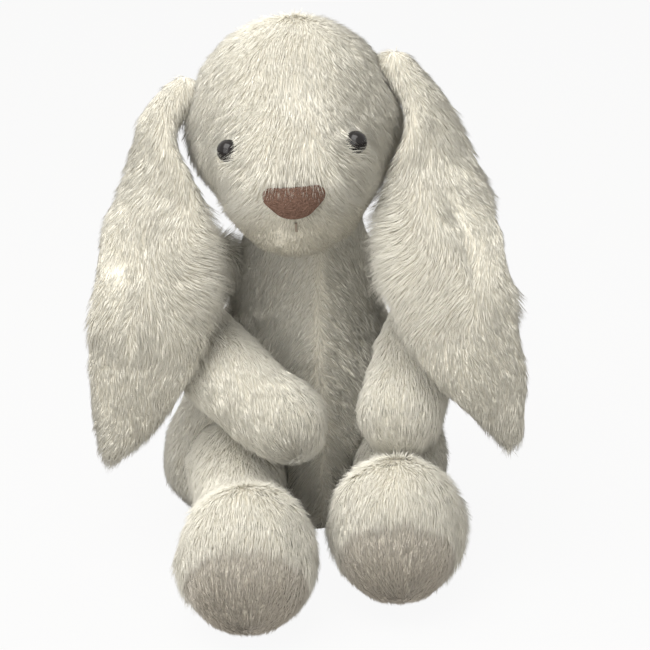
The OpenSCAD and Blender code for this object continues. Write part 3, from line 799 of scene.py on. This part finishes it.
# ---------------------------------------------------------------- Ears
# Long flat ears of two layers of the same pile, sewn edge to edge and gathered at the root. The
# front has a crease halfway down, with pile pressed smooth on one side of it.
pivot = {joint["name"]: np.array(joint["pos_m"]) for joint in frame["joints"]}
ear_crease = 0.0030              # depth of the crease down the front of each ear
ear_grow = -0.0022               # the flat stuffing already lies at the fabric's outside
ear_pile_length = 0.0056


def ear_rim(spots, normals):
    """The seam of an ear's two layers, round its edge, where the fabric turns over."""
    return 1 - smooth_step(np.abs(normals[:, 1]), 0.45, 0.85)


for word, side in SIDES.items():
    body = f"ear_{word}"
    root = pivot[f"ear_lift_{word}"]
    tip = outermost(f"ear_lining_{word}", root)
    line = (tip - root) / np.linalg.norm(tip - root)
    ear_skin = stuffed_skin(f"ear_backing_{word}", [f"ear_back_{word}", f"ear_lining_{word}"],
                            body, ear_rim, grow=ear_grow)
    spots, normals = places(ear_skin.data), facings(ear_skin.data)

    # How far down the ear each point is, from 0 to 1, and how far out from the ear's own line
    run = (spots - root) @ line
    down = run / np.linalg.norm(tip - root)
    out = ((spots - root) - run[:, None] * line)[:, 0] * side
    window = smooth_step(down, 0.30, 0.42) * (1 - smooth_step(down, 0.52, 0.62))
    fold = np.exp(-((out - 0.001 - 0.010 * (down - 0.45)) / 0.0035) ** 2)
    fold = fold * window * (normals[:, 1] < 0)
    creased = spots + (fold * ear_crease)[:, None] * (0, 1, 0)
    ear_skin.data.vertices.foreach_set("co", creased.ravel())
    ear_skin.data.update()
    normals = facings(ear_skin.data)

    # Pressed smooth beside the crease and rough round that, shorter towards the tip, and
    # longest on the upper side that lies against the face
    smooth = smooth_step(out, 0.001, 0.005) * window
    near_tip = smooth_step(down, 0.66, 0.70) * (1 - smooth_step(down, 0.82, 0.95))
    rough = smooth_step(down, 0.30, 0.50) * (1 - smooth_step(down, 0.64, 0.68)) * (1 - smooth)
    sway = np.sin(down * 19 + out * 90) * 0.30
    outward = side * 0.15 + sway - 0.6 * side * rough * (out < 0)
    flow = np.stack([outward, 0 * down, -1 + 0 * down], 1)
    inner = smooth_step(-out, 0.008, 0.020) * (1 - smooth_step(down, 0.42, 0.62))
    flow[:, 0] -= 1.3 * side * inner
    pile = ear_pile_length + 0.0010 * smooth_step(down, 0.02, 0.15) - 0.0022 * smooth
    pile = pile - 0.0014 * near_tip + 0.0042 * inner
    lift = 0.46 - 0.10 * smooth + 0.16 * rough + 0.55 * inner
    # Painted light and shade: the pile pressed smooth is coloured paler and the rough pile
    # darker
    comb_pile(ear_skin, flow, pile + 0.0012 * rough, lift=lift,
              shade=-0.10 * smooth + 0.04 * rough)
    ear_skin.data.materials.append(cream_backing)
    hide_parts(f"ear_back_{word}", f"ear_lining_{word}")
    is_front = normals[:, 1] < 0
    grow_pile(ear_skin, f"ear_pile_front_{word}", is_front, body, cream_pile,
              [f"ear_lining_{word}"])
    grow_pile(ear_skin, f"ear_pile_back_{word}", ~is_front, body, cream_pile,
              [f"ear_back_{word}"])

# ---------------------------------------------------------------- Arms
# Plump tubes of two panels each, closed at the paw and sewn to the torso at the shoulder. The
# pile is combed towards the paw and stands up long round the shoulder.
arm_pile_length = 0.0062
shoulder_pile_extra = 0.0034
for word in SIDES:
    body = f"arm_{word}"
    arm_skin = stuffed_skin(f"arm_backing_{word}", [f"arm_stuffing_{word}"], body)
    spots = places(arm_skin.data)
    shoulder = pivot[f"arm_swing_{word}"]
    paw = spots[np.argmin(spots[:, 1])]
    line = (paw - shoulder) / np.linalg.norm(paw - shoulder)
    near = 1 - smooth_step((spots - shoulder) @ line, 0.000, 0.020)
    flow = np.tile(line + (0, 0, -0.35), (len(spots), 1))
    comb_pile(arm_skin, flow, arm_pile_length + shoulder_pile_extra * near,
              lift=0.46 + 0.9 * near)
    arm_skin.data.materials.append(cream_backing)
    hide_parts(f"arm_outer_{word}", f"arm_inner_{word}")
    grow_pile(arm_skin, f"arm_pile_{word}", np.ones(len(spots)), body, cream_pile,
              [f"arm_outer_{word}", f"arm_inner_{word}"])

# ---------------------------------------------------------------- Legs
# Stuffed legs with big feet. The upper's pile is combed forwards and down over the foot. The
# sole is its own panel with shorter pile, coloured darker as painted shade under the foot, and
# the painted shade deepens away from its seam.
sole_slope = math.radians(31)
sole_out = np.array((0, -math.cos(sole_slope), -math.sin(sole_slope)))
leg_pile_length, leg_pile_lift = 0.0070, 0.44
sole_pile_length, sole_pile_lift = 0.0042, 0.6
sole_lock_width = 0.00032
# Painted shade: the sole's pile is coloured darker than the upper's, and darker still away from
# its seam
sole_painted_shade = 0.62            # how much darker the sole is away from its seam
sole_pile = pile_material("sole_pile", (0.84, 0.80, 0.72), (0.62, 0.58, 0.50),
                          shadow=(0.56, 0.53, 0.50))
for word in SIDES:
    body = f"leg_{word}"
    leg_skin = stuffed_skin(f"leg_backing_{word}",
                            [f"leg_stuffing_{word}", f"foot_bean_pouch_{word}"], body)
    spots = places(leg_skin.data)
    seam = (places(cad[f"foot_sole_{word}"].data) @ sole_out).min()
    below = (spots @ sole_out) - seam
    on_sole = below > 0
    flow = np.tile((0, -1.0, -0.7), (len(spots), 1))
    # The sole's pile carries painted shade that deepens away from its seam
    comb_pile(leg_skin, flow, np.where(on_sole, sole_pile_length, leg_pile_length),
              lift=np.where(on_sole, sole_pile_lift, leg_pile_lift),
              shade=np.where(on_sole, sole_painted_shade * smooth_step(below, 0.0, 0.014), 0.0))
    leg_skin.data.materials.append(cream_backing)
    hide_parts(f"leg_upper_{word}", f"foot_sole_{word}")
    grow_pile(leg_skin, f"leg_pile_{word}", ~on_sole, body, cream_pile, [f"leg_upper_{word}"])
    grow_pile(leg_skin, f"sole_pile_{word}", on_sole, body, sole_pile, [f"foot_sole_{word}"],
              width=sole_lock_width)

# ---------------------------------------------------------------- Eyes
# Moulded black domes with a soft gloss, set on stems that pass through the pile into washers.
eye_black = bpy.data.materials.new("moulded_eye")
eye_black.use_nodes = True
nodes, links = eye_black.node_tree.nodes, eye_black.node_tree.links
surface = nodes["Principled BSDF"]
surface.inputs["Coat Weight"].default_value = 0.15
surface.inputs["Specular IOR Level"].default_value = 0.25
surface.inputs["Coat Roughness"].default_value = 0.03
place = nodes.new("ShaderNodeTexCoord")
cloud = place_group(nodes, fine_grain, Scale=400, Detail=2, Hollow=(0.006, 0.005, 0.005),
                    Raised=(0.014, 0.011, 0.010))
links.new(place.outputs["Object"], cloud.inputs["Place"])
links.new(cloud.outputs["Color"], surface.inputs["Base Color"])
haze = nodes.new("ShaderNodeMapRange")
haze.inputs["To Min"].default_value = 0.14
haze.inputs["To Max"].default_value = 0.24
links.new(cloud.outputs["Height"], haze.inputs["Value"])
links.new(haze.outputs["Result"], surface.inputs["Roughness"])
for word in SIDES:
    cad[f"eye_{word}"].data.materials.clear()
    cad[f"eye_{word}"].data.materials.append(eye_black)

# ---------------------------------------------------------------- Nose
# A moulded nose with a flocked finish in a dusty brown pink. The flock is finely speckled, and
# stands deeper than the weave of the cloths.
nose_flock = grainy_material("flocked_nose", (0.27, 0.165, 0.125), (0.03, 0.014, 0.008),
                             grain=1500, relief=0.0012)
cad["nose"].data.materials.clear()
cad["nose"].data.materials.append(nose_flock)

# ---------------------------------------------------------------- Stitch and hidden fittings
# The stitch under the nose, and what the skins hold: fibre stuffing, bean pouches and the
# washers that lock the eyes and the nose. The stuffing's rims come through the backing at the
# hips and the nape, so its colour is darker than real filling, to match the pile in shade.
thread = grainy_material("mouth_thread", (0.30, 0.25, 0.20), (0.18, 0.15, 0.12))
fibrefill = grainy_material("fibre_stuffing", (0.52, 0.50, 0.43), (0.42, 0.40, 0.34))
pouch_cloth = grainy_material("bean_pouch_cloth", (0.62, 0.54, 0.40), (0.42, 0.36, 0.26))
washer_plastic = grainy_material("washer_plastic", (0.82, 0.82, 0.79), (0.72, 0.72, 0.69))
inside = {"mouth_stitch": thread, "nose_washer": washer_plastic, "torso_stuffing": fibrefill,
          "head_stuffing": fibrefill, "tail_stuffing": fibrefill, "seat_bean_pouch": pouch_cloth}
for word in SIDES:
    inside[f"eye_washer_{word}"] = washer_plastic
    inside[f"foot_bean_pouch_{word}"] = pouch_cloth
    inside[f"arm_stuffing_{word}"] = fibrefill
    inside[f"leg_stuffing_{word}"] = fibrefill
for node, material in inside.items():
    cad[node].data.materials.clear()
    cad[node].data.materials.append(material)
